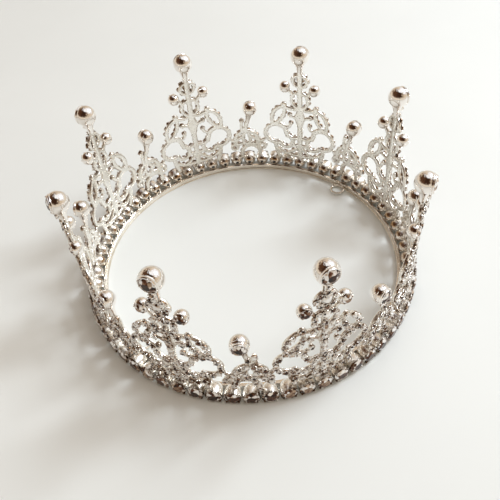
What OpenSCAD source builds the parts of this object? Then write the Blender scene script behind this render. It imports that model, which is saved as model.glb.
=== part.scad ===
// Round openwork crown: a ring of round stones in cups carries tall and short openwork
// peaks in turn, each with a ball finial whose outward face holds a stone.
// Origin: centre of the base, on the plane that the crown stands on. +Z is up.
// Short peaks stand on the X and Y axes, tall peaks half-way between neighbours.

/* [Crown] */
// Number of tall peaks, and of short ones
peak_count = 8; // [6:1:8]
// Middle radius of the openwork wall
wall_r = 64.4; // [63.8:0.1:65]
// Thickness of the openwork wall
wall_t = 1.4; // [1.0:0.1:2.0]
// Width added to every wire of the openwork
wire_plus = 0.3; // [0:0.1:0.5]

/* [Base] */
// Inner radius of the base band
band_inner_r = 60.4; // [59.8:0.1:60.8]
// Radial thickness of the base band
band_t = 1.4; // [1.0:0.1:2.0]
// Height of the base band
band_h = 2.4; // [1.6:0.2:3.0]
// Height of the cup centres above the standing plane
cup_z = 3.4; // [3.3:0.1:3.8]
// Outer radius of a cup's mouth
cup_mouth_r = 3.2; // [3.0:0.05:3.25]
// Radius of a base stone at its girdle
base_stone_r = 2.95; // [2.6:0.05:2.95]

/* [Finials] */
// Height of the tall peaks' ball centres
tall_ball_z = 59.3; // [56:0.1:62]
// Radius of a tall peak's ball
tall_ball_r = 3.95; // [3.2:0.05:4.2]
// Height of the short peaks' ball centres
short_ball_z = 32.2; // [30:0.1:34]
// Radius of a short peak's ball
short_ball_r = 3.4; // [2.8:0.05:3.6]
// Radius of the domes beside a tall peak's stem
side_dome_r = 2.55; // [2.3:0.05:2.7]

/* [Pin loops] */
// Outer radius of a pin loop
loop_r = 3.3; // [3.0:0.1:3.8]
// Hole radius of a pin loop
loop_hole_r = 2.4; // [2.0:0.1:2.6]
// Thickness of a pin loop
loop_t = 1.0; // [0.8:0.1:1.4]

/* [Hidden] */
$fn = 48;
pair_angle = 360 / peak_count;
tall_turn = pair_angle / 2;
cups_per_pair = 8;
cup_count = peak_count * cups_per_pair;
cup_angle = 360 / cup_count;
wall_inner_r = wall_r - wall_t / 2;
wall_outer_r = wall_r + wall_t / 2;
solder_sink = 0.04;
cup_back_r = band_inner_r + band_t - solder_sink;
cup_face_r = 67.2;
cup_depth = cup_face_r - cup_back_r;
cup_back_radius = 2.5;
cup_hole_radius = 0.8;
cup_floor_t = 0.5;
cup_floor_radius = 1.9;
seat_radius = base_stone_r + 0.02;
seat_depth = 0.6;
base_stone_sink = 0.25;
base_stone_crown = 0.9;
base_stone_pavilion = 1.9;
loop_z = 0.7;
loop_sink = 0.6;
stem_foot_z = 5.9;
stem_waist_z = 34;
stem_w = 2.5;
stem_top_w = 2.3;
tall_neck_z = 51.6;
tall_neck_r = 1.25;
short_neck_foot = [-0.35, 24.9];
short_ball_at = [-1.9, short_ball_z];
short_neck_r = 1.0;
short_neck_rise = short_ball_at - short_neck_foot;
side_dome_at = [6.8, 44.0];
side_stone_r = 1.85;
side_seat_x = 0.5;
small_stone_r = 1.15;
stone_pitch = 2.35;
stone_stand = 0.55;
stone_sink = 0.15;
bead_r = 1.0;
knot_r = 1.5;
silver = [0.86, 0.84, 0.80];
crystal = [0.80, 0.83, 0.86];

// ---- Flat drawing of a peak, x across the peak and y up ----
// A wire is [centre, radius, start angle, end angle, width]: an arc of round-ended wire.

function flip(p) = [-p.x, p.y];

// The arc from p to q whose middle stands h to the left of the straight line p to q
function bow(p, q, h, w) =
    let (span = norm(q - p),
         side = [p.y - q.y, q.x - p.x] / span,
         r = (span * span / 4 + h * h) / (2 * abs(h)),
         c = (p + q) / 2 + side * (h - sign(h) * r),
         ap = atan2(p.y - c.y, p.x - c.x),
         aq = atan2(q.y - c.y, q.x - c.x),
         first = h > 0 ? aq : ap,
         last = h > 0 ? ap : aq)
    [c, r, first, last > first ? last : last + 360, w];

function mirrored(wire) = [flip(wire[0]), wire[1], 180 - wire[3], 180 - wire[2], wire[4]];
function both_sides(wires) = concat(wires, [for (wire = wires) mirrored(wire)]);
function wire_point(wire, angle) = wire[0] + wire[1] * [cos(angle), sin(angle)];
function wire_length(wire) = wire[1] * (wire[3] - wire[2]) * PI / 180;

// Evenly spaced stone places along a wire
function stones_on(wire) =
    let (count = max(1, floor(wire_length(wire) / stone_pitch)),
         step = (wire[3] - wire[2]) / count)
    [for (k = [0:count - 1]) wire_point(wire, wire[2] + (k + 0.5) * step)];

// Places that keep their distance from all the earlier ones
function far_from(p, taken) = min([for (q = taken) norm(p - q)]) > 0.86 * stone_pitch;
function thinned(places, taken, k = 0) =
    k == len(places) ? taken
    : thinned(places, far_from(places[k], taken) ? concat(taken, [places[k]]) : taken, k + 1);

// Big kidney-shaped scroll low on each side of a tall peak: two rings run into one
scroll_outer = [11.3, 18.9];
scroll_outer_r = 5.1;
scroll_inner = [6.7, 15.0];
scroll_inner_r = 3.2;

tall_side_wires = [
    [scroll_outer, scroll_outer_r, -108, 188, 1.5],
    [scroll_inner, scroll_inner_r, 98, 342, 1.5],
    bow([7.4, 34.2], [12.7, 24.6], 2.6, 1.4),
    bow([7.4, 34.2], [12.7, 24.6], -2.2, 1.3),
    bow([12.6, 24.6], [7.0, 22.8], -0.8, 1.3),
    bow([7.2, 22.9], [4.5, 25.0], 0.9, 1.1),
    bow([7.0, 22.8], [5.9, 18.0], 0.5, 1.3),
    bow([0.4, 33.4], [7.4, 34.2], -0.7, 1.3),
    bow([1.2, 41.6], [1.4, 34.2], 2.6, 1.0),
    bow([3.4, 39.0], [5.4, 42.6], 0.7, 1.1),
    bow([0.9, 50.2], [0.9, 44.8], 2.3, 0.9),
    bow([2.2, 28.6], [4.9, 29.4], 0.2, 1.0),
    bow([0.6, 17.2], [3.9, 16.8], 0.3, 1.4),
    bow([0.6, 12.9], [4.2, 13.2], 0.3, 1.3),
    bow([0.6, 7.4], [11.0, 10.6], -1.3, 1.3),
    bow([0.8, 12.4], [6.6, 8.2], -0.6, 1.1),
    bow([11.7, 13.8], [9.9, 5.5], 0.4, 1.7),
];
tall_wires = both_sides(tall_side_wires);
tall_beads = [[3.3, 47.5], [4.5, 25.0], [5.0, 29.4], [13.0, 24.8]];
tall_knots = [[7.6, 34.8]];

short_wires = [
    [[0.6, 14.6], 5.6, -8, 188, 1.4],
    bow([-0.35, 25.2], [0.9, 20.2], 0.3, 1.6),
    bow([2.3, 25.6], [2.5, 19.8], 0.3, 1.0),
    bow([0.6, 19.8], [0.6, 12.4], 1.8, 1.0),
    bow([0.6, 19.8], [0.6, 12.4], -1.8, 1.0),
    bow([-4.8, 13.0], [-0.6, 17.4], 0.9, 1.0),
    bow([6.0, 13.0], [1.8, 17.4], -0.9, 1.0),
    bow([-5.2, 12.6], [6.2, 12.6], 0.5, 1.3),
    [[-1.2, 7.6], 4.3, -4, 184, 1.4],
    bow([-5.5, 7.8], [-5.5, 5.7], 0.1, 1.5),
    bow([3.1, 7.8], [3.1, 4.9], 0.1, 1.5),
    [[-6.7, 11.4], 1.45, 0, 359, 1.0],
    [[6.5, 11.4], 1.45, 0, 359, 1.0],
    bow([-5.0, 14.6], [-7.7, 15.3], 0.4, 1.2),
    bow([6.1, 14.6], [7.7, 15.3], -0.3, 1.2),
];
short_beads = [[2.3, 25.6]];

// A round-ended arc of flat wire
module wire_shape(wire) {
    width = wire[4] + wire_plus;
    reach = wire[1] + width;
    steps = ceil((wire[3] - wire[2]) / 60);
    intersection() {
        difference() {
            circle(r = wire[1] + width / 2);
            circle(r = wire[1] - width / 2);
        }
        polygon(concat([[0, 0]], [for (k = [0:steps])
            let (a = wire[2] + (wire[3] - wire[2]) * k / steps)
            1.3 * reach * [cos(a), sin(a)]]));
    }
    for (a = [wire[2], wire[3]])
        translate(wire[1] * [cos(a), sin(a)]) circle(r = 0.53 * width);
}

module wires_shape(wires) {
    for (wire = wires) translate(wire[0]) wire_shape(wire);
}

module tall_shape() {
    wires_shape(tall_wires);
    translate([-stem_w / 2, stem_foot_z]) square([stem_w, stem_waist_z - stem_foot_z + 0.4]);
    translate([-stem_top_w / 2, stem_waist_z]) square([stem_top_w, tall_neck_z - stem_waist_z]);
    polygon([[-1.0, 23.5], [1.0, 23.5], [2.7, 29.0], [0, 32.0], [-2.7, 29.0]]);
    for (side = [-1, 1]) {
        for (p = tall_beads) translate([side * p.x, p.y]) circle(r = bead_r);
        for (p = tall_knots) translate([side * p.x, p.y]) circle(r = knot_r);
    }
}

module short_shape() {
    wires_shape(short_wires);
    for (p = short_beads) translate(p) circle(r = bead_r);
}

// ---- Placing on the round wall ----

// Stands a flat drawing up on the +X side of the wall and bends it to the wall's curve
module on_wall() {
    intersection() {
        translate([wall_inner_r - 6, 0, 0]) rotate([90, 0, 90])
            linear_extrude(height = 10) children();
        difference() {
            cylinder(r = wall_outer_r, h = 70);
            translate([0, 0, -1]) cylinder(r = wall_inner_r, h = 72);
        }
    }
}

// Puts children, made along +X from the origin, at place p of the drawing and radius r
module at_place(p, r) {
    translate([0, 0, p.y]) rotate([0, 0, asin(p.x / wall_r)]) translate([r, 0, 0]) children();
}

// A brilliant with its girdle at the origin and its face towards +X
module brilliant(r, crown, pavilion) {
    rotate([0, 90, 0]) {
        cylinder(r1 = r, r2 = 0.6 * r, h = crown);
        translate([0, 0, -0.12 * r]) cylinder(r = r, h = 0.12 * r);
        translate([0, 0, -0.12 * r - pavilion]) cylinder(r1 = 0.25 * r, r2 = r, h = pavilion);
    }
}

module tall_place(i) {
    rotate([0, 0, tall_turn + (i - 1) * pair_angle]) children();
}

module short_place(i) {
    rotate([0, 0, (i - 1) * pair_angle]) children();
}

// ---- Base ----

module base_band() {
    groove = 0.25;
    color(silver) rotate_extrude($fn = 180) difference() {
        translate([band_inner_r, 0]) square([band_t, band_h]);
        translate([band_inner_r - 1, 0.9]) square([1 + groove, 0.5]);
    }
}

// Cup that holds one base stone: a cone, open in front, with a hole in its back
module cup() {
    translate([cup_back_r, 0, cup_z]) rotate([0, 90, 0]) difference() {
        cylinder(r1 = cup_back_radius, r2 = cup_mouth_r, h = cup_depth);
        translate([0, 0, cup_floor_t])
            cylinder(r1 = cup_floor_radius, r2 = seat_radius, h = cup_depth - seat_depth - cup_floor_t);
        translate([0, 0, cup_depth - seat_depth - 0.02]) cylinder(r = seat_radius, h = 2 * seat_depth);
        translate([0, 0, -1]) cylinder(r = cup_hole_radius, h = 3);
    }
}

module base_cups() {
    color(silver) for (k = [0:cup_count - 1]) rotate([0, 0, k * cup_angle]) cup();
}

module base_stones() {
    color(crystal) for (k = [0:cup_count - 1]) rotate([0, 0, k * cup_angle])
        translate([cup_face_r - base_stone_sink, 0, cup_z])
            brilliant(base_stone_r, base_stone_crown, base_stone_pavilion);
}

// Flat ring for a hair pin, soldered to the inside of the band
module pin_loop() {
    color(silver) translate([band_inner_r - loop_r + loop_sink, 0, loop_z]) difference() {
        cylinder(r = loop_r, h = loop_t);
        translate([0, 0, -1]) cylinder(r = loop_hole_r, h = loop_t + 2);
        translate([loop_r - loop_sink, -loop_r, -1]) cube([loop_r, 2 * loop_r, loop_t + 2]);
    }
}

module pin_loop_right() {
    pin_loop();
}

module pin_loop_left() {
    rotate([0, 0, 180]) pin_loop();
}

// ---- Peaks ----

module tall_panel(i) {
    color(silver) tall_place(i) on_wall() tall_shape();
}

module short_panel(i) {
    color(silver) short_place(i) on_wall() short_shape();
}

// Ball with a rim and a round seat for a stone on its +X side
module ball(r) {
    rotate([0, 90, 0]) rotate_extrude() difference() {
        union() {
            intersection() {
                circle(r = r);
                translate([0, -r]) square([r, 1.55 * r]);
            }
            translate([0, 0.4 * r]) square([0.8 * r, 0.38 * r]);
        }
        translate([-1, 0.45 * r]) square([0.62 * r + 1, r]);
    }
}

// The ball stands on a tapering neck, whose foot is at the origin
module finial(ball_r, ball_h, foot_r) {
    translate([0, 0, ball_h]) ball(ball_r);
    cylinder(r1 = foot_r, r2 = 0.62 * ball_r, h = ball_h - 0.75 * ball_r);
}

module finial_stone(ball_r, ball_h) {
    translate([0.68 * ball_r, 0, ball_h]) brilliant(0.6 * ball_r, 0.24 * ball_r, 0.14 * ball_r);
}

module tall_finial(i) {
    color(silver) tall_place(i) translate([wall_r, 0, tall_neck_z])
        finial(tall_ball_r, tall_ball_z - tall_neck_z, tall_neck_r);
}

// A short peak's finial leans a little to one side
module short_finial_frame() {
    lean = atan2(short_neck_rise.x, short_neck_rise.y);
    at_place(short_neck_foot, wall_r) rotate([-lean, 0, 0]) children();
}

module short_finial(i) {
    color(silver) short_place(i) short_finial_frame()
        finial(short_ball_r, norm(short_neck_rise), short_neck_r);
}

module tall_finial_stones() {
    color(crystal) for (i = [1:peak_count]) tall_place(i)
        translate([wall_r, 0, tall_neck_z]) finial_stone(tall_ball_r, tall_ball_z - tall_neck_z);
}

module short_finial_stones() {
    color(crystal) for (i = [1:peak_count]) short_place(i)
        short_finial_frame() finial_stone(short_ball_r, norm(short_neck_rise));
}

// Small domes that stand out on both sides of a tall peak's stem, with a stone seat in front
module side_dome() {
    difference() {
        sphere(r = side_dome_r);
        translate([side_seat_x, 0, 0]) rotate([0, 90, 0])
            cylinder(r = side_stone_r + 0.02, h = side_dome_r);
    }
}

module side_domes() {
    color(silver) for (i = [1:peak_count], side = [-1, 1]) tall_place(i)
        at_place([side * side_dome_at.x, side_dome_at.y], wall_r) side_dome();
}

module side_dome_stones() {
    color(crystal) for (i = [1:peak_count], side = [-1, 1]) tall_place(i)
        at_place([side * side_dome_at.x, side_dome_at.y], wall_r + side_seat_x + 0.7)
            brilliant(side_stone_r, 0.6, 0.45);
}

// ---- Stones on the wall's outer face ----

// Small stone that stands before the wall's outer face, sunk a little into its seat
module wall_stone(p, r, stand = 0) {
    at_place(p, wall_outer_r + stand - stone_sink) rotate([0, 90, 0]) {
        cylinder(r = 0.9 * r, h = stone_stand);
        translate([0, 0, stone_stand]) cylinder(r1 = 0.9 * r, r2 = 0.5 * r, h = 0.45 * r);
    }
}

// Larger stones up a tall stem and its finial's neck: height, radius, distance before the wall's face
neck_column = [[54.3, 0.95, 1.2], [51.0, 0.9, 0], [48.0, 1.7, 0], [44.2, 1.1, 0], [40.6, 1.45, 0]];
neck_places = [for (stone = neck_column) [0, stone[0]]];

module neck_stones() {
    color(crystal) for (i = [1:peak_count], stone = neck_column)
        tall_place(i) wall_stone([0, stone[0]], stone[1], stone[2]);
}

tall_stone_places = thinned(
    concat([for (side = [-1, 1], p = concat(tall_knots, tall_beads)) [side * p.x, p.y]],
           [for (z = [8.6:stone_pitch:38]) [0, z]],
           [for (wire = tall_wires) each stones_on(wire)]),
    neck_places);
short_stone_places = thinned(
    [for (wire = short_wires) each stones_on(wire)], short_beads);

module tall_panel_stones() {
    color(crystal) for (i = [1:peak_count]) tall_place(i)
        for (k = [len(neck_places):len(tall_stone_places) - 1])
            wall_stone(tall_stone_places[k], small_stone_r);
}

module short_panel_stones() {
    color(crystal) for (i = [1:peak_count]) short_place(i)
        for (p = short_stone_places) wall_stone(p, small_stone_r);
}

// ---- Nodes ----

base_band();
base_cups();
base_stones();
pin_loop_right();
pin_loop_left();
for (i = [1:peak_count]) {
    tall_panel(i);
    short_panel(i);
    tall_finial(i);
    short_finial(i);
}
tall_finial_stones();
short_finial_stones();
side_domes();
side_dome_stones();
neck_stones();
tall_panel_stones();
short_panel_stones();
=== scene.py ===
"""Looks of the round openwork crown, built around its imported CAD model.

Lengths are in millimetres and angles in degrees until a mesh, a light or the camera is made. A flat
drawing of a peak has u across it, growing anticlockwise seen from above, and z up.
"""
import math
import random

import bpy
import numpy as np
from mathutils import Matrix, Vector

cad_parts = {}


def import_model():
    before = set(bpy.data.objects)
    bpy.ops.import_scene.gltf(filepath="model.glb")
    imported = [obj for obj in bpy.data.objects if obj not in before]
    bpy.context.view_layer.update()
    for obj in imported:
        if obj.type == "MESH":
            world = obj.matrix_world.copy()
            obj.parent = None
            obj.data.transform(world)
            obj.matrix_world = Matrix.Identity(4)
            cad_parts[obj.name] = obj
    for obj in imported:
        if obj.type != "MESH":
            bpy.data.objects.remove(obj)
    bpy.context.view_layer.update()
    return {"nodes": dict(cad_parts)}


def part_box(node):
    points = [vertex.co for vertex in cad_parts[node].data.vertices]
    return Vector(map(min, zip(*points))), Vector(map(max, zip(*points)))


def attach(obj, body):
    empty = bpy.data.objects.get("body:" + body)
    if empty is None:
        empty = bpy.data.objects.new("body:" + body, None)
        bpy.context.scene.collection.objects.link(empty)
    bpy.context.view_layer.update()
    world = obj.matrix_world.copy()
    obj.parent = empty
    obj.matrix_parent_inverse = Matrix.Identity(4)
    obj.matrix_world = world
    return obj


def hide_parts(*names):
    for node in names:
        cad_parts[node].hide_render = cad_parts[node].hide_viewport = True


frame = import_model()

MM = 0.001

# ---- Sizes, from the frame where it holds them ----


def box_mm(node):
    low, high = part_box(node)
    return low / MM, high / MM


PEAKS = sum(name.removeprefix("tall_panel_").isdigit() for name in frame["nodes"])
PAIR_TURN = 360 / PEAKS
TALL_TURN = PAIR_TURN / 2

band_high = box_mm("base_band")[1]
BAND_OUTER_R = band_high.x
BAND_H = band_high.z
BAND_T = 1.4
BAND_INNER_R = BAND_OUTER_R - BAND_T

WALL_T = 1.4
WALL_R = box_mm("short_panel_1")[1].x - WALL_T / 2
WALL_OUTER_R = WALL_R + WALL_T / 2

cup_low, cup_high = box_mm("base_cups")
CUP_COUNT = 8 * PEAKS
CUP_MOUTH_R = (cup_high.z - cup_low.z) / 2
CUP_Z = (cup_high.z + cup_low.z) / 2
CUP_FACE_R = cup_high.x
SOLDER_SINK = 0.02
CUP_BACK_R = BAND_OUTER_R - SOLDER_SINK
CUP_DEPTH = CUP_FACE_R - CUP_BACK_R
BASE_STONE_R = 2.95

# Width added to every wire of the drawing, since the remesh and the softening thin them
WIRE_PLUS = 0.45

TALL_BALL_R = 3.95
TALL_BALL_Z = box_mm("tall_finial_1")[1].z - TALL_BALL_R
TALL_NECK_FOOT = (0.0, 51.6)
TALL_NECK_R = 1.25
SHORT_BALL_R = 3.4
SHORT_BALL_AT = (-1.9, 32.2)
SHORT_NECK_FOOT = (-0.35, 24.9)
SHORT_NECK_R = 1.0
SIDE_DOME_R = 2.55
SIDE_DOME_AT = (6.8, 44.0)

LOOP_MID_R = 2.85
LOOP_HALF_W = 0.45
LOOP_HALF_H = 0.5
LOOP_REACH = 2.7
LOOP_Z = 1.2

STONE_R = 1.02
STONE_PITCH = 2.3
STONES_APART = 0.86 * STONE_PITCH
STEM_STONES = 13
STEM_STONES_Z = 8.6
# How far the girdles of small stones, and of a stem's large ones at least, stand before the wall
STONE_STAND = 0.32
NECK_STAND = 0.35


# ---- Points and faces ----


def turned(degrees):
    """The rotation about the crown's axis, as a 4 x 4 array."""
    return np.array(Matrix.Rotation(math.radians(degrees), 4, "Z"))


def moved(x, y, z):
    return np.array(Matrix.Translation((x, y, z)))


FACING_OUT = np.array(Matrix.Rotation(math.radians(90), 4, "Y"))


def at_wall(place, radius):
    """Puts a shape made along +Z so that it faces outwards at a place of the drawing."""
    u, z = place
    return turned(math.degrees(math.asin(u / WALL_R))) @ moved(radius, 0, z) @ FACING_OUT


class Soup:
    """Points and faces of one piece, with a tone for each face, which the stones' material reads."""

    def __init__(self):
        self.points = []
        self.faces = []
        self.tones = []
        self.count = 0

    def add(self, shape, place=None, tones=None):
        points, faces = shape
        points = np.asarray(points, float)
        if place is not None:
            points = points @ place[:3, :3].T + place[:3, 3]
        self.points.append(points)
        self.faces += [tuple(i + self.count for i in face) for face in faces]
        self.tones += [0.0] * len(faces) if tones is None else tones
        self.count += len(points)
        return self

    def all_points(self):
        return np.concatenate(self.points)


def mesh_from(name, soup, scale=MM):
    mesh = bpy.data.meshes.new(name)
    mesh.from_pydata((soup.all_points() * scale).tolist(), [], soup.faces)
    if any(soup.tones):
        tone = mesh.attributes.new("tone", "FLOAT", "FACE")
        tone.data.foreach_set("value", np.array(soup.tones, np.float32))
    mesh.validate()
    return mesh


def show(name, mesh, material, replaced, smooth_angle=None):
    """Puts a finished mesh on the crown, in place of CAD nodes."""
    if smooth_angle is None:
        mesh.shade_flat()
    else:
        mesh.shade_smooth()
        mesh.set_sharp_from_angle(angle=math.radians(smooth_angle))
    mesh.materials.append(material)
    piece = bpy.data.objects.new(name, mesh)
    bpy.context.scene.collection.objects.link(piece)
    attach(piece, "root")
    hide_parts(*replaced)


def lathe(profile, sides, closed=False):
    """Turns (radius, height) points about Z. An open profile closes where it starts or ends on the axis."""
    points = []
    rings = []
    for radius, height in profile:
        if radius < 1e-6:
            rings.append([len(points)])
            points.append((0.0, 0.0, height))
            continue
        rings.append(list(range(len(points), len(points) + sides)))
        for k in range(sides):
            a = 2 * math.pi * k / sides
            points.append((radius * math.cos(a), radius * math.sin(a), height))
    faces = []
    pairs = list(zip(rings, rings[1:] + rings[:1])) if closed else list(zip(rings, rings[1:]))
    for low, high in pairs:
        for k in range(sides):
            j = (k + 1) % sides
            if len(low) == 1:
                faces.append((low[0], high[j], high[k]))
            elif len(high) == 1:
                faces.append((low[k], low[j], high[0]))
            else:
                faces.append((low[k], low[j], high[j], high[k]))
    return points, faces


def ring(middle_r, half_r, half_h, sides, profile_sides):
    """A closed ring about Z with an oval section."""
    profile = []
    for k in range(profile_sides):
        a = -2 * math.pi * k / profile_sides
        profile.append((middle_r + half_r * math.cos(a), -half_h * math.sin(a)))
    return lathe(profile[::-1], sides, closed=True)


def bead(radius, x, y, z, sides=8):
    """A small round bead."""
    profile = [(0, -radius)]
    for k in range(1, 5):
        a = math.radians(-90 + 36 * k)
        profile.append((radius * math.cos(a), radius * math.sin(a)))
    profile.append((0, radius))
    points, faces = lathe(profile, sides)
    return [(px + x, py + y, pz + z) for px, py, pz in points], faces


def joined(*shapes):
    soup = Soup()
    for shape in shapes:
        soup.add(shape)
    return soup.all_points(), soup.faces


def brilliant(radius, crown, pavilion, table=0.56):
    """A round cut stone, girdle at z = 0 and face up: a table with 8 star facets, 8 kites and 16 girdle
    facets round it, a thin girdle, and 16 facets down to the point."""
    points = []
    for k in range(8):
        a = math.radians(45 * k)
        points.append((table * radius * math.cos(a), table * radius * math.sin(a), crown))
    for k in range(8):
        a = math.radians(45 * k + 22.5)
        points.append((0.79 * radius * math.cos(a), 0.79 * radius * math.sin(a), 0.58 * crown))
    for k in range(16):
        a = math.radians(22.5 * k)
        points.append((radius * math.cos(a), radius * math.sin(a), 0.04 * crown))
    for k in range(16):
        a = math.radians(22.5 * k)
        points.append((radius * math.cos(a), radius * math.sin(a), -0.08 * crown))
    points.append((0, 0, -pavilion))
    faces = [tuple(range(8))]
    for k in range(8):
        after = (k + 1) % 8
        faces.append((8 + k, after, k))
        faces.append((k, 8 + (k - 1) % 8, 16 + 2 * k, 8 + k))
        faces.append((8 + k, 16 + 2 * k, 17 + 2 * k))
        faces.append((8 + k, 17 + 2 * k, 16 + (2 * k + 2) % 16))
    for k in range(16):
        after = (k + 1) % 16
        faces.append((32 + k, 32 + after, 16 + after, 16 + k))
        faces.append((48, 32 + after, 32 + k))
    return points, faces


def facet_tones(faces, draw):
    """Painted reflections: each facet of a foiled stone gets a tone for what it throws back, a fifth dark
    brown, the rest brighter.
    """
    base = draw.choice((0.1, 0.4, 0.75, 1.0, 1.0))
    tones = []
    for _ in faces:
        tone = base + draw.gauss(0, 0.3)
        if draw.random() < 0.22:
            tone = draw.uniform(0.02, 0.16)
        tones.append(min(1.0, max(0.02, tone)))
    return tones


def large_tones(faces, draw):
    """Painted reflections: a large stone's table is painted dark brown, with bright and brown facets round
    it.
    """
    tones = []
    for number in range(len(faces)):
        if number == 0:
            tones.append(draw.choice((0.02, 0.06, 0.12, 0.3)))
        elif draw.random() < 0.5:
            tones.append(draw.uniform(0.03, 0.25))
        else:
            tones.append(draw.uniform(0.4, 1.0))
    return tones


# ---- The flat drawing of a peak ----


def arc(centre, radius, start, end, width):
    count = max(4, int(radius * math.radians(end - start) / 0.45))
    a = np.radians(np.linspace(start, end, count + 1))
    places = np.stack([centre[0] + radius * np.cos(a), centre[1] + radius * np.sin(a)], 1)
    return places, width


def bow(p, q, h, width):
    """The arc from p to q whose middle stands h to the left of the straight line from p to q."""
    p, q = np.array(p, float), np.array(q, float)
    span = np.linalg.norm(q - p)
    side = np.array([p[1] - q[1], q[0] - p[0]]) / span
    radius = (span * span / 4 + h * h) / (2 * abs(h))
    centre = (p + q) / 2 + side * (h - math.copysign(radius, h))
    first = math.degrees(math.atan2(*(p - centre)[::-1]))
    last = math.degrees(math.atan2(*(q - centre)[::-1]))
    if h > 0:
        first, last = last, first
    if last < first:
        last += 360
    places, width = arc(centre, radius, first, last, width)
    return (places[::-1] if h > 0 else places), width


def both_sides(wires):
    return wires + [(places * np.array([-1, 1]), width) for places, width in wires]


def length_of(places):
    return float(np.linalg.norm(np.diff(places, axis=0), axis=1).sum())


def along(places, distance):
    """The place at that distance along a wire."""
    steps = np.linalg.norm(np.diff(places, axis=0), axis=1)
    reached = np.concatenate([[0], np.cumsum(steps)])
    return np.array([np.interp(distance, reached, places[:, k]) for k in (0, 1)])


TALL_WIRES = both_sides([
    arc((11.3, 18.9), 5.1, -108, 188, 1.5),
    arc((6.7, 15.0), 3.2, 98, 342, 1.5),
    bow((7.4, 34.2), (12.7, 24.6), 2.6, 1.4),
    bow((7.4, 34.2), (12.7, 24.6), -2.2, 1.3),
    bow((12.6, 24.6), (7.0, 22.8), -0.8, 1.3),
    bow((7.2, 22.9), (4.5, 25.0), 0.9, 1.1),
    bow((7.0, 22.8), (5.9, 18.0), 0.5, 1.3),
    bow((0.4, 33.4), (7.4, 34.2), -0.7, 1.3),
    bow((1.2, 41.6), (1.4, 34.2), 2.6, 1.0),
    bow((3.4, 39.0), (5.4, 42.6), 0.7, 1.1),
    bow((0.9, 50.2), (0.9, 44.8), 2.3, 0.9),
    bow((2.2, 28.6), (4.9, 29.4), 0.2, 1.0),
    bow((0.6, 17.2), (3.9, 16.8), 0.3, 1.4),
    bow((0.6, 12.9), (4.2, 13.2), 0.3, 1.3),
    bow((0.6, 7.4), (11.0, 10.6), -1.3, 1.3),
    bow((0.8, 12.4), (6.6, 8.2), -0.6, 1.1),
    bow((11.7, 13.8), (9.9, 5.5), 0.4, 1.7),
])
TALL_BEADS = [(3.3, 47.5), (4.5, 25.0), (5.0, 29.4), (13.0, 24.8)]
TALL_KNOTS = [(7.6, 34.8)]
TALL_STEM = [(5.9, 1.3), (23.5, 1.25), (29.0, 2.8), (32.0, 1.6), (34.0, 1.25), (51.6, 1.2)]

SHORT_WIRES = [
    arc((0.6, 14.6), 5.6, -8, 188, 1.4),
    bow((-0.35, 25.2), (0.9, 20.2), 0.3, 1.6),
    bow((2.3, 25.6), (2.5, 19.8), 0.3, 1.0),
    bow((0.6, 19.8), (0.6, 12.4), 1.8, 1.0),
    bow((0.6, 19.8), (0.6, 12.4), -1.8, 1.0),
    bow((-4.8, 13.0), (-0.6, 17.4), 0.9, 1.0),
    bow((6.0, 13.0), (1.8, 17.4), -0.9, 1.0),
    bow((-5.2, 12.6), (6.2, 12.6), 0.5, 1.3),
    arc((-1.2, 7.6), 4.3, -4, 184, 1.4),
    bow((-5.5, 7.8), (-5.5, 5.7), 0.1, 1.5),
    bow((3.1, 7.8), (3.1, 4.9), 0.1, 1.5),
    arc((-6.7, 11.4), 1.45, 0, 359, 1.0),
    arc((6.5, 11.4), 1.45, 0, 359, 1.0),
    bow((-5.0, 14.6), (-7.7, 15.3), 0.4, 1.2),
    bow((6.1, 14.6), (7.7, 15.3), -0.3, 1.2),
]
SHORT_BEADS = [(2.3, 25.6)]

# Larger stones up a tall stem: height, radius, and how far they stand out beyond NECK_STAND
NECK_STONES = [
    (54.3, 0.95, 1.0),
    (51.2, 0.9, 0.35),
    (48.0, 1.7, 0.1),
    (44.2, 1.1, 0.1),
    (40.6, 1.45, 0.1),
]


# ---- Metal castings of the peaks ----

SECTION_SIDES = 12
VOXEL = 0.2
KEPT_FACES = 0.4


def section(half_width, half_depth):
    """A full oval, flatter than an ellipse, across a wire: x across the wire and y through the wall."""
    points = []
    for k in range(SECTION_SIDES):
        a = 2 * math.pi * k / SECTION_SIDES
        c, s = math.cos(a), math.sin(a)
        points.append((half_width * math.copysign(abs(c) ** 0.75, c),
                       half_depth * math.copysign(abs(s) ** 0.75, s)))
    return points


def swept(places, half_widths, half_depth):
    """A round-ended solid wire along places of the drawing, as points (u, depth, z)."""
    places = np.asarray(places, float)
    tangents = np.gradient(places, axis=0)
    tangents /= np.linalg.norm(tangents, axis=1)[:, None]
    stations = []
    for a in (80, 50, 25):
        c, s = math.cos(math.radians(a)), math.sin(math.radians(a))
        stations.append((places[0] - tangents[0] * half_widths[0] * s, tangents[0], half_widths[0], c))
    for k in range(len(places)):
        stations.append((places[k], tangents[k], half_widths[k], 1.0))
    for a in (25, 50, 80):
        c, s = math.cos(math.radians(a)), math.sin(math.radians(a))
        stations.append((places[-1] + tangents[-1] * half_widths[-1] * s, tangents[-1], half_widths[-1], c))
    points = []
    for place, tangent, half_width, share in stations:
        side = np.array([tangent[1], -tangent[0]])
        for across, depth in section(half_width * share, half_depth * (0.4 + 0.6 * share)):
            u, z = place + side * across
            points.append((u, depth, z))
    n = SECTION_SIDES
    faces = [tuple(range(n))[::-1], tuple(range(len(points) - n, len(points)))]
    for j in range(len(stations) - 1):
        for k in range(n):
            m = (k + 1) % n
            faces.append((j * n + k, j * n + m, (j + 1) * n + m, (j + 1) * n + k))
    return points, faces


def flat_bead(place, radius, half_depth):
    """A flattened bead in the plane of the wall."""
    points, faces = bead(1.0, 0, 0, 0, sides=14)
    u, z = place
    return [(u + radius * x, half_depth * y, z + radius * w) for x, y, w in points], faces


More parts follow.
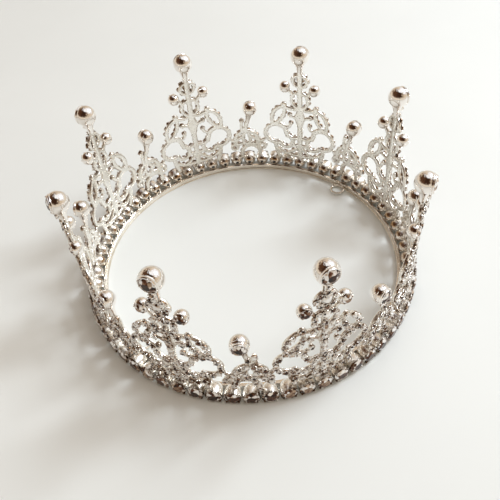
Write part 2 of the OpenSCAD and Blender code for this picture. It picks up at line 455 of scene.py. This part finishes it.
def casting(name, wires, beads, stem):
    """One smooth solid: the wires of a flat drawing run together, then bent to the round wall."""
    soup = Soup()
    half_depth = WALL_T / 2
    for places, width in wires:
        soup.add(swept(places, [(width + WIRE_PLUS) / 2] * len(places), half_depth))
    for place, radius in beads:
        soup.add(flat_bead(place, radius, half_depth))
    if stem:
        heights = np.arange(stem[0][0], stem[-1][0], 0.5)
        widths = np.interp(heights, [z for z, _ in stem], [w for _, w in stem])
        soup.add(swept(np.stack([heights * 0, heights], 1), list(widths), half_depth))
    rough = bpy.data.objects.new(name + "_rough", mesh_from(name + "_rough", soup, 1.0))
    bpy.context.scene.collection.objects.link(rough)
    remesh = rough.modifiers.new("one_solid", "REMESH")
    remesh.mode = "VOXEL"
    remesh.voxel_size = VOXEL
    soften = rough.modifiers.new("soften", "SMOOTH")
    soften.factor = 0.5
    soften.iterations = 3
    thin = rough.modifiers.new("thin", "DECIMATE")
    thin.ratio = KEPT_FACES
    done = rough.evaluated_get(bpy.context.evaluated_depsgraph_get())
    mesh = bpy.data.meshes.new_from_object(done)
    bpy.data.objects.remove(rough)
    points = np.empty(len(mesh.vertices) * 3, np.float32)
    mesh.vertices.foreach_get("co", points)
    u, depth, z = points.reshape(-1, 3).T
    x = np.sqrt((WALL_R + depth) ** 2 - u ** 2)
    mesh.vertices.foreach_set("co", (np.stack([x, u, z], 1) * MM).astype(np.float32).ravel())
    mesh.update()
    return mesh


def casting_at(name, mesh, degrees, node):
    own = mesh.copy()
    own.name = name
    own.transform(Matrix.Rotation(math.radians(degrees), 4, "Z"))
    show(name, own, cast_silver, [node], smooth_angle=60)


# ---- Stone settings ----


def setting(radius, prongs, rim_t=0.16, sides=16):
    """A round seat with prongs about a stone whose girdle is at z = 0 and whose face is up."""
    outer = radius + rim_t
    profile = [(0.72 * radius, -0.62), (outer - 0.1, -0.62), (outer, -0.45), (outer, -0.05),
               (outer - 0.06, 0.06), (radius + 0.01, 0.06), (radius - 0.02, -0.08), (0.72 * radius, -0.4)]
    parts = [lathe(profile, sides, closed=True)]
    for k in range(prongs):
        a = 2 * math.pi * (k + 0.5) / prongs
        reach = radius + 0.3 * rim_t
        parts.append(bead(0.24 + 0.04 * radius, reach * math.cos(a), reach * math.sin(a), 0.12, sides=7))
    return joined(*parts)


def stones_on(places):
    length = length_of(places)
    count = max(1, int(length / STONE_PITCH))
    return [tuple(along(places, (k + 0.5) * length / count)) for k in range(count)]


def thinned(places, taken):
    """Keeps the places that stay clear of all earlier ones."""
    kept = []
    for place in places:
        near = [math.dist(place, other) for other in taken + kept]
        if min(near, default=math.inf) > STONES_APART:
            kept.append(place)
    return kept


def tall_stone_places():
    places = [(side * u, z) for side in (-1, 1) for u, z in TALL_KNOTS + TALL_BEADS]
    places += [(0.0, STEM_STONES_Z + STONE_PITCH * k) for k in range(STEM_STONES)]
    for wire, _ in TALL_WIRES:
        places += stones_on(wire)
    return thinned(places, [(0.0, z) for z, _, _ in NECK_STONES])


def short_stone_places():
    places = list(SHORT_BEADS)
    for wire, _ in SHORT_WIRES:
        places += stones_on(wire)
    return thinned(places, [])


# ---- Materials ----

# Metres, as a bump's distance is given
GRAIN_DEPTH = 0.00005

# Colours painted on a stone's facets from tone 0 to 1, as painted reflections: dark, brown, beige and clear
PAINTED_FACET_REFLECTIONS = [
    (0.0, (0.010, 0.004, 0.002)),
    (0.2, (0.13, 0.050, 0.026)),
    (0.42, (0.52, 0.37, 0.25)),
    (0.7, (0.97, 0.96, 0.95)),
]


def material(name):
    made = bpy.data.materials.new(name)
    made.use_nodes = True
    nodes, links = made.node_tree.nodes, made.node_tree.links
    return made, nodes, links, nodes["Principled BSDF"]


def noise(nodes, links, vector, scale, detail=3.0, distortion=0.0):
    node = nodes.new("ShaderNodeTexNoise")
    node.inputs["Scale"].default_value = scale
    node.inputs["Detail"].default_value = detail
    node.inputs["Distortion"].default_value = distortion
    links.new(vector, node.inputs["Vector"])
    return node.outputs["Fac"]


def ramp(nodes, links, factor, stops):
    node = nodes.new("ShaderNodeValToRGB")
    while len(node.color_ramp.elements) < len(stops):
        node.color_ramp.elements.new(0.5)
    for element, (position, colour) in zip(node.color_ramp.elements, stops):
        element.position = position
        element.color = (*colour, 1.0)
    links.new(factor, node.inputs["Fac"])
    return node.outputs["Color"]


def span(nodes, links, factor, low, high, lowest=0.3, highest=0.7):
    node = nodes.new("ShaderNodeMapRange")
    node.inputs["From Min"].default_value = lowest
    node.inputs["From Max"].default_value = highest
    node.inputs["To Min"].default_value = low
    node.inputs["To Max"].default_value = high
    links.new(factor, node.inputs["Value"])
    return node.outputs["Result"]


def bump(nodes, links, shader, height, strength, distance):
    node = nodes.new("ShaderNodeBump")
    node.inputs["Strength"].default_value = strength
    node.inputs["Distance"].default_value = distance
    links.new(height, node.inputs["Height"])
    links.new(node.outputs["Normal"], shader.inputs["Normal"])


def mixed(nodes, links, factor, first, second):
    """Mixes two colours, each given as a tuple or as a socket."""
    node = nodes.new("ShaderNodeMix")
    node.data_type = "RGBA"
    colour_a, colour_b, result = node.inputs[6], node.inputs[7], node.outputs[2]
    links.new(factor, node.inputs["Factor"])
    for socket, colour in ((colour_a, first), (colour_b, second)):
        if isinstance(colour, tuple):
            socket.default_value = (*colour, 1.0)
        else:
            links.new(colour, socket)
    return result


def out_from_axis(nodes, links, place, near, far):
    """0 at near from the crown's axis, 1 at far, and even on both sides of them."""
    flat = nodes.new("ShaderNodeVectorMath")
    flat.operation = "MULTIPLY"
    flat.inputs[1].default_value = (1, 1, 0)
    links.new(place, flat.inputs[0])
    distance = nodes.new("ShaderNodeVectorMath")
    distance.operation = "LENGTH"
    links.new(flat.outputs["Vector"], distance.inputs[0])
    low, high = (0.0, 1.0) if near < far else (1.0, 0.0)
    start, end = min(near, far) * MM, max(near, far) * MM
    return span(nodes, links, distance.outputs["Value"], low, high, start, end)


def product(nodes, links, first, second):
    node = nodes.new("ShaderNodeMath")
    node.operation = "MULTIPLY"
    links.new(first, node.inputs[0])
    links.new(second, node.inputs[1])
    return node.outputs[0]


def silver(name, bright, shade, smooth, rough, gloss_scale, grain_scale, relief):
    """Silver plate: two tones in soft patches, uneven gloss, and the casting's or the brush's grain."""
    made, nodes, links, shader = material(name)
    place = nodes.new("ShaderNodeTexCoord").outputs["Object"]
    patches = noise(nodes, links, place, 120, 4.0, 0.4)
    gloss = noise(nodes, links, place, gloss_scale, 5.0)
    grain = noise(nodes, links, place, grain_scale, 4.0)
    shader.inputs["Metallic"].default_value = 1.0
    links.new(ramp(nodes, links, patches, [(0.34, shade), (0.62, bright)]), shader.inputs["Base Color"])
    links.new(span(nodes, links, gloss, smooth, rough), shader.inputs["Roughness"])
    bump(nodes, links, shader, grain, relief, GRAIN_DEPTH)
    return made


def lay_painted_shade(made, share, shade_colour):
    """Paints shade over a silver plate: a darker tone, in patches, where share is 1. share is a function of
    the material's nodes, its links and the place."""
    nodes, links = made.node_tree.nodes, made.node_tree.links
    shader = nodes["Principled BSDF"]
    unshaded = shader.inputs["Base Color"].links[0].from_socket
    place = nodes.new("ShaderNodeTexCoord").outputs["Object"]
    patches = span(nodes, links, noise(nodes, links, place, 420, 2.0), 0.2, 1.0, 0.42, 0.56)
    where = product(nodes, links, share(nodes, links, place), patches)
    links.new(mixed(nodes, links, where, unshaded, shade_colour), shader.inputs["Base Color"])


def satin(made, share, amount):
    """Roughens a silver plate by amount where share is 1."""
    nodes, links = made.node_tree.nodes, made.node_tree.links
    shader = nodes["Principled BSDF"]
    polished = shader.inputs["Roughness"].links[0].from_socket
    place = nodes.new("ShaderNodeTexCoord").outputs["Object"]
    total = nodes.new("ShaderNodeMath")
    total.operation = "MULTIPLY_ADD"
    total.inputs[1].default_value = amount
    links.new(share(nodes, links, place), total.inputs[0])
    links.new(polished, total.inputs[2])
    links.new(total.outputs[0], shader.inputs["Roughness"])


def crystal(name, roughness, mirror):
    """Foiled glass: each facet has its own tone, a painted reflection, with faint clouds, under a clear
    polished skin. mirror is the share of its foil that shines as metal does."""
    made, nodes, links, shader = material(name)
    tone = nodes.new("ShaderNodeAttribute")
    tone.attribute_name = "tone"
    place = nodes.new("ShaderNodeTexCoord").outputs["Object"]
    clouds = span(nodes, links, noise(nodes, links, place, 900, 2.0), -0.12, 0.12)
    total = nodes.new("ShaderNodeMath")
    total.operation = "ADD"
    links.new(tone.outputs["Fac"], total.inputs[0])
    links.new(clouds, total.inputs[1])
    links.new(ramp(nodes, links, total.outputs[0], PAINTED_FACET_REFLECTIONS), shader.inputs["Base Color"])
    shader.inputs["Metallic"].default_value = mirror
    shader.inputs["Roughness"].default_value = roughness
    shader.inputs["Specular IOR Level"].default_value = 0.25
    shader.inputs["Coat Weight"].default_value = 0.15
    shader.inputs["Coat Roughness"].default_value = 0.02
    return made


def shade_between_stones(nodes, links, place):
    """The outermost skin of a casting, in which the small stones sit, where shade between the stones is
    painted.
    """
    return out_from_axis(nodes, links, place, WALL_OUTER_R - 0.35, WALL_OUTER_R - 0.05)


def shade_under_rims(nodes, links, place):
    """The inner part of a small setting, behind its rim, where shade is painted."""
    return out_from_axis(nodes, links, place, WALL_OUTER_R + 0.38, WALL_OUTER_R + 0.2)


def cup_walls(nodes, links, place):
    """A base cup's sides, away from its back."""
    return out_from_axis(nodes, links, place, CUP_BACK_R + 0.9, CUP_BACK_R + 1.7)


def shade_round_cup_stones(nodes, links, place):
    """A base cup's rim, round the stone, where a dark outline of shade is painted."""
    return out_from_axis(nodes, links, place, CUP_FACE_R - 0.75, CUP_FACE_R - 0.45)


def shade_on_upper_back(nodes, links, place):
    """The upper half of a cup's rounded back, where brown shade is painted."""
    split = nodes.new("ShaderNodeSeparateXYZ")
    links.new(place, split.inputs[0])
    upper = span(nodes, links, split.outputs["Z"], 0.15, 1.0, (CUP_Z + 0.3) * MM, (CUP_Z + 1.3) * MM)
    back = out_from_axis(nodes, links, place, CUP_BACK_R + 1.6, CUP_BACK_R + 0.7)
    return product(nodes, links, back, upper)


cast_silver = silver("cast_silver", (0.96, 0.935, 0.89), (0.86, 0.82, 0.75), smooth=0.18, rough=0.32,
                     gloss_scale=1500, grain_scale=2600, relief=0.35)
# Painted shade: the casting's outer skin is darkened brown between the small stones.
lay_painted_shade(cast_silver, shade_between_stones, (0.30, 0.20, 0.13))

seat_silver = silver("seat_silver", (0.97, 0.95, 0.92), (0.86, 0.81, 0.74), smooth=0.10, rough=0.20,
                     gloss_scale=1500, grain_scale=2600, relief=0.2)
# Painted shade: each small setting is darkened brown behind its rim.
lay_painted_shade(seat_silver, shade_under_rims, (0.26, 0.165, 0.10))

ball_silver = silver("ball_silver", (0.95, 0.91, 0.87), (0.88, 0.83, 0.78), smooth=0.04, rough=0.09,
                     gloss_scale=900, grain_scale=300, relief=0.12)

cup_silver = silver("cup_silver", (0.97, 0.95, 0.91), (0.88, 0.83, 0.76), smooth=0.10, rough=0.22,
                    gloss_scale=1200, grain_scale=2000, relief=0.25)
# Painted shade: the upper half of each cup's back is painted brown.
lay_painted_shade(cup_silver, shade_on_upper_back, (0.42, 0.27, 0.15))
satin(cup_silver, cup_walls, 0.1)
# Painted shade: a dark outline on each cup's rim round its stone.
lay_painted_shade(cup_silver, shade_round_cup_stones, (0.12, 0.065, 0.035))

band_silver = silver("band_silver", (0.93, 0.87, 0.79), (0.78, 0.70, 0.59), smooth=0.12, rough=0.24,
                     gloss_scale=1100, grain_scale=2200, relief=0.2)

large_crystal = crystal("large_crystal", roughness=0.03, mirror=0.5)
small_crystal = crystal("small_crystal", roughness=0.05, mirror=0.38)


# ---- Peaks ----

tall_beads = [((side * u, z), 1.0) for side in (-1, 1) for u, z in TALL_BEADS]
tall_beads += [((side * u, z), 1.5) for side in (-1, 1) for u, z in TALL_KNOTS]
tall_casting = casting("tall_casting", TALL_WIRES, tall_beads, TALL_STEM)
short_casting = casting("short_casting", SHORT_WIRES, [(place, 1.0) for place in SHORT_BEADS], None)

small_setting = setting(STONE_R, 4)
small_stone = brilliant(STONE_R, 0.42, 0.35)
draw = random.Random(64)


def stones_and_settings(name, stones, degrees, stone_node):
    """Stones on a peak's outer face, given as (place, radius, stand), and the settings that hold them."""
    gems, seats = Soup(), Soup()
    for place, radius, stand in stones:
        spot = turned(degrees) @ at_wall(place, WALL_OUTER_R + stand) @ turned(draw.uniform(0, 360))
        if radius == STONE_R:
            gem, seat = small_stone, small_setting
        else:
            gem, seat = brilliant(radius, 0.44 * radius, 0.4 * radius), setting(radius, 6, 0.2, 20)
        gems.add(gem, spot, facet_tones(gem[1], draw))
        seats.add(seat, spot)
    show(name + "_settings", mesh_from(name + "_settings", seats), seat_silver, [], 40)
    show(name + "_stones", mesh_from(name + "_stones", gems), small_crystal, [stone_node])


tall_places = [(place, STONE_R, STONE_STAND) for place in tall_stone_places()]
short_places = [(place, STONE_R, STONE_STAND) for place in short_stone_places()]
neck_places = [((0.0, z), radius, NECK_STAND + stand) for z, radius, stand in NECK_STONES]
for i in range(PEAKS):
    tall_angle = TALL_TURN + i * PAIR_TURN
    short_angle = i * PAIR_TURN
    casting_at(f"tall_filigree_{i + 1}", tall_casting, tall_angle, f"tall_panel_{i + 1}")
    casting_at(f"short_filigree_{i + 1}", short_casting, short_angle, f"short_panel_{i + 1}")
    stones_and_settings(f"tall_{i + 1}", tall_places, tall_angle, "tall_panel_stones")
    stones_and_settings(f"neck_{i + 1}", neck_places, tall_angle, "neck_stones")
    stones_and_settings(f"short_{i + 1}", short_places, short_angle, "short_panel_stones")


# ---- Finials and side domes ----


def dome_profile(radius, front):
    """(radius, height) points of a ball from its back pole to the latitude front, where its seat starts."""
    points = []
    for k in range(15):
        a = math.radians(-90 + (front + 90) * k / 14)
        points.append((radius * math.cos(a), radius * math.sin(a)))
    return points


def ball(radius):
    """A ball whose front is cut off for a stone, with two raised rims round the seat. It faces +Z."""
    profile = dome_profile(radius, 20)
    outer_rim = [(0.90, 0.40), (0.93, 0.45), (0.92, 0.51), (0.86, 0.54)]
    inner_rim = [(0.83, 0.57), (0.85, 0.62), (0.83, 0.68), (0.77, 0.70), (0.74, 0.66)]
    seat = [(0.72, 0.56), (0.0, 0.50)]
    profile += [(r * radius, z * radius) for r, z in outer_rim + inner_rim + seat]
    return lathe(profile, 40)


def neck(foot_r, top_r, height):
    """A trumpet-shaped neck up from the origin."""
    profile = [(0.0, 0.0)]
    for k in range(11):
        t = k / 10
        profile.append((foot_r + (top_r - foot_r) * t ** 1.9, height * t))
    profile.append((0.0, height))
    return lathe(profile, 28)


def lean_frame(foot, top):
    """The frame of a neck that stands on the wall's middle at foot and points to top."""
    rise_u, rise_z = top[0] - foot[0], top[1] - foot[1]
    turn = turned(math.degrees(math.asin(foot[0] / WALL_R)))
    lean = np.array(Matrix.Rotation(-math.atan2(rise_u, rise_z), 4, "X"))
    return turn @ moved(WALL_R, 0, foot[1]) @ lean, math.hypot(rise_u, rise_z)


def finials(name, foot, top, ball_r, foot_r, first_angle, node, stone_node):
    stand, height = lean_frame(foot, top)
    gems = Soup()
    gem = brilliant(0.70 * ball_r, 0.24 * ball_r, 0.08 * ball_r, table=0.5)
    claw_reach = 0.74 * ball_r
    for i in range(PEAKS):
        metal = Soup()
        place = turned(first_angle + i * PAIR_TURN) @ stand
        head = place @ moved(0, 0, height) @ FACING_OUT
        metal.add(ball(ball_r), head)
        metal.add(neck(foot_r, 0.62 * ball_r, height - 0.72 * ball_r), place)
        for k in range(8):
            a = 2 * math.pi * (k + 0.5) / 8
            claw = bead(0.085 * ball_r, claw_reach * math.cos(a), claw_reach * math.sin(a), 0.69 * ball_r)
            metal.add(claw, head)
        mesh = mesh_from(f"{name}_{i + 1}", metal)
        show(f"{name}_{i + 1}", mesh, ball_silver, [f"{node}_{i + 1}"], 35)
        seat = head @ moved(0, 0, 0.64 * ball_r) @ turned(draw.uniform(0, 45))
        gems.add(gem, seat, large_tones(gem[1], draw))
    show(name + "_gems", mesh_from(name + "_gems", gems), large_crystal, [stone_node])


finials("tall_ball", TALL_NECK_FOOT, (0.0, TALL_BALL_Z), TALL_BALL_R, TALL_NECK_R, TALL_TURN,
        "tall_finial", "tall_finial_stones")
finials("short_ball", SHORT_NECK_FOOT, SHORT_BALL_AT, SHORT_BALL_R, SHORT_NECK_R, 0,
        "short_finial", "short_finial_stones")


def side_domes():
    metal, gems = Soup(), Soup()
    radius = SIDE_DOME_R
    profile = dome_profile(radius, 25)
    profile += [(0.84 * radius, 0.50 * radius), (0.78 * radius, 0.46 * radius), (0.0, 0.40 * radius)]
    dome = lathe(profile, 32)
    gem = brilliant(0.74 * radius, 0.36 * radius, 0.05 * radius, table=0.5)
    prong_reach = 0.76 * radius
    u, z = SIDE_DOME_AT
    for i in range(PEAKS):
        for side in (-1, 1):
            spot = turned(TALL_TURN + i * PAIR_TURN) @ at_wall((side * u, z), WALL_R)
            metal.add(dome, spot)
            for k in range(6):
                a = 2 * math.pi * (k + 0.5) / 6
                prong = bead(0.34, prong_reach * math.cos(a), prong_reach * math.sin(a), 0.56 * radius)
                metal.add(prong, spot)
            gems.add(gem, spot @ moved(0, 0, 0.5 * radius), large_tones(gem[1], draw))
    show("side_dome_set", mesh_from("side_dome_set", metal), ball_silver, ["side_domes"], 35)
    show("side_dome_gems", mesh_from("side_dome_gems", gems), large_crystal, ["side_dome_stones"])


side_domes()


# ---- Base ----


def cup():
    """A pressed cup for a base stone: a bowl, its back with a hole at z = 0, a rolled rim round its mouth,
    and four claws over the stone."""
    depth = CUP_DEPTH
    mouth = CUP_MOUTH_R
    stone = BASE_STONE_R
    hole = 0.76
    flat, belly = 0.85, mouth - 0.05
    bowl_depth = 0.8 * depth
    profile = [(hole - 0.04, 0.14), (hole, 0.03)]
    for k in range(11):
        a = math.radians(9 * k)
        profile.append((flat + (belly - flat) * math.sin(a), bowl_depth * (1 - math.cos(a))))
    profile += [(mouth, depth - 0.4), (mouth - 0.02, depth - 0.08), (mouth - 0.1, depth)]
    profile += [(stone + 0.06, depth - 0.02), (stone + 0.01, depth - 0.25), (stone, depth - 0.62)]
    profile += [(2.4, 2.2), (hole, 0.5)]
    parts = [lathe(profile, 32, closed=True)]
    claw_reach = stone + 0.04
    for k in range(4):
        a = math.radians(90 * k + 45)
        parts.append(bead(0.42, claw_reach * math.cos(a), claw_reach * math.sin(a), depth + 0.02, sides=10))
    return joined(*parts)


def base_row():
    cups, gems = Soup(), Soup()
    one_cup = cup()
    gem = brilliant(BASE_STONE_R, crown=0.85, pavilion=1.7)
    girdle = CUP_DEPTH - 0.25
    for k in range(CUP_COUNT):
        spot = turned(360 * k / CUP_COUNT) @ moved(CUP_BACK_R, 0, CUP_Z) @ FACING_OUT
        cups.add(one_cup, spot)
        seat = spot @ moved(0, 0, girdle) @ turned(draw.uniform(0, 45))
        gems.add(gem, seat, large_tones(gem[1], draw))
    show("cup_row", mesh_from("cup_row", cups), cup_silver, ["base_cups"], 35)
    show("base_gems", mesh_from("base_gems", gems), large_crystal, ["base_stones"])


def band():
    """The plain strip inside the cups, with a thin raised lip along its foot and its top."""
    inner, outer, top = BAND_INNER_R, BAND_OUTER_R, BAND_H
    edge = 0.15
    profile = [(inner + edge, 0.0), (outer - edge, 0.0), (outer, edge), (outer, top - edge)]
    profile += [(outer - edge, top), (inner + 0.2, top), (inner + 0.04, top - 0.08), (inner, top - 0.2)]
    profile += [(inner + 0.02, top - 0.42)]
    profile += [(inner + 0.2, top - 0.55), (inner + 0.22, 0.75), (inner + 0.05, 0.6), (inner, 0.45)]
    profile += [(inner, edge)]
    soup = Soup().add(lathe(profile, 256, closed=True))
    show("band", mesh_from("band", soup), band_silver, ["base_band"], 35)


def pin_loops():
    loop = ring(LOOP_MID_R, LOOP_HALF_W, LOOP_HALF_H, sides=48, profile_sides=12)
    for side, degrees in (("right", 0), ("left", 180)):
        soup = Soup().add(loop, turned(degrees) @ moved(BAND_INNER_R - LOOP_REACH, 0, LOOP_Z))
        name = f"loop_{side}"
        show(name, mesh_from(name, soup), band_silver, [f"pin_loop_{side}"], 60)


base_row()
band()
pin_loops()


# ---- Floor, light and camera ----


def floor():
    reach = 3000
    corners = [(-reach, -reach, 0), (reach, -reach, 0), (reach, reach, 0), (-reach, reach, 0)]
    soup = Soup().add((corners, [(0, 1, 2, 3)]))
    made, nodes, links, shader = material("table_top")
    place = nodes.new("ShaderNodeTexCoord").outputs["Object"]
    clouds = noise(nodes, links, place, 9, 3.0)
    links.new(ramp(nodes, links, clouds, [(0.3, (0.785, 0.80, 0.785)), (0.7, (0.815, 0.83, 0.815))]),
              shader.inputs["Base Color"])
    shader.inputs["Roughness"].default_value = 0.6
    mesh = mesh_from("floor", soup)
    mesh.materials.append(made)
    sheet = bpy.data.objects.new("floor", mesh)
    bpy.context.scene.collection.objects.link(sheet)


def direction(azimuth, elevation):
    """The unit vector from the crown towards an azimuth from +X and an elevation above the floor."""
    a, e = math.radians(azimuth), math.radians(elevation)
    return Vector((math.cos(a) * math.cos(e), math.sin(a) * math.cos(e), math.sin(e)))


def area_light(name, azimuth, elevation, distance, size, power, colour, mirrored):
    """A square light that faces the crown. If it isn't mirrored, polished metal doesn't show it."""
    light = bpy.data.lights.new(name, "AREA")
    light.shape = "SQUARE"
    light.size = size * MM
    light.energy = power
    light.color = colour
    lamp = bpy.data.objects.new(name, light)
    back = direction(azimuth, elevation)
    lamp.location = back * distance * MM
    lamp.rotation_mode = "QUATERNION"
    lamp.rotation_quaternion = back.to_track_quat("Z", "Y")
    lamp.visible_glossy = mirrored
    bpy.context.scene.collection.objects.link(lamp)


# Where the camera stands, how far it looks above the crown's origin, and how far it is rolled
CAMERA_AZIMUTH = -131.23
CAMERA_ELEVATION = 47.68
CAMERA_DISTANCE = 247.04
CAMERA_PITCH = 0.945
CAMERA_ROLL = -5.563
CAMERA_LENS = 41.9


def camera():
    back = direction(CAMERA_AZIMUTH, CAMERA_ELEVATION)
    right = Vector((0, 0, 1)).cross(back).normalized()
    up = back.cross(right)
    look = (up * math.tan(math.radians(CAMERA_PITCH)) - back).normalized()
    up = right.cross(look)
    roll = math.radians(CAMERA_ROLL)
    across = right * math.cos(roll) + up * math.sin(roll)
    above = up * math.cos(roll) - right * math.sin(roll)
    eye = bpy.data.cameras.new("camera")
    eye.lens = CAMERA_LENS
    eye.sensor_width = 36
    eye.clip_start = 0.01
    holder = bpy.data.objects.new("camera", eye)
    turn = Matrix((across, above, -look)).transposed().to_4x4()
    holder.matrix_world = Matrix.Translation(back * CAMERA_DISTANCE * MM) @ turn
    bpy.context.scene.collection.objects.link(holder)
    bpy.context.scene.camera = holder


def world():
    """A beige room, plain near the floor, dark brown where people stand, with light from one side."""
    room = bpy.data.worlds.new("room")
    room.use_nodes = True
    nodes, links = room.node_tree.nodes, room.node_tree.links
    place = nodes.new("ShaderNodeTexCoord").outputs["Generated"]
    edges = span(nodes, links, noise(nodes, links, place, 3.4, 3.0, 0.8), -0.22, 0.22)

    def zone(azimuth, elevation, inner, outer):
        """1 within inner degrees of a direction, 0 beyond outer, with an uneven edge."""
        node = nodes.new("ShaderNodeVectorMath")
        node.operation = "DOT_PRODUCT"
        node.inputs[1].default_value = direction(azimuth, elevation)
        links.new(place, node.inputs[0])
        uneven = nodes.new("ShaderNodeMath")
        uneven.operation = "ADD"
        links.new(node.outputs["Value"], uneven.inputs[0])
        links.new(edges, uneven.inputs[1])
        near, far = math.cos(math.radians(inner)), math.cos(math.radians(outer))
        return span(nodes, links, uneven.outputs[0], 0.0, 1.0, far, near)

    def over(factor, below, colour):
        return mixed(nodes, links, factor, below, colour)

    beige, furniture = (0.66, 0.53, 0.39), (0.12, 0.06, 0.035)
    dark_side, dark_front = (0.09, 0.042, 0.022), (0.04, 0.018, 0.01)
    daylight, plain = (0.97, 0.98, 1.0), (0.72, 0.64, 0.53)
    clutter = noise(nodes, links, place, 4.2, 3.0, 0.9)
    colour = over(span(nodes, links, clutter, 0.0, 1.0, 0.53, 0.57), beige, furniture)
    colour = over(zone(174, 68, 50, 58), colour, dark_side)
    colour = over(zone(-142, 46, 34, 40), colour, dark_front)
    colour = over(zone(-4, 49, 35, 45), colour, daylight)
    height = nodes.new("ShaderNodeSeparateXYZ")
    links.new(place, height.inputs[0])
    near_floor = span(nodes, links, height.outputs["Z"], 1.0, 0.0, 0.2, 0.34)
    colour = over(near_floor, colour, plain)
    back = nodes["Background"]
    links.new(colour, back.inputs["Color"])
    back.inputs["Strength"].default_value = 1.06
    bpy.context.scene.world = room


floor()
camera()
world()
area_light("window", azimuth=-18, elevation=48, distance=1000, size=300, power=6.0,
           colour=(0.84, 0.925, 1.0), mirrored=True)
area_light("ceiling", azimuth=-100, elevation=80, distance=1100, size=1300, power=4.0,
           colour=(1.0, 0.90, 0.74), mirrored=False)
bpy.context.scene.view_settings.view_transform = "Standard"
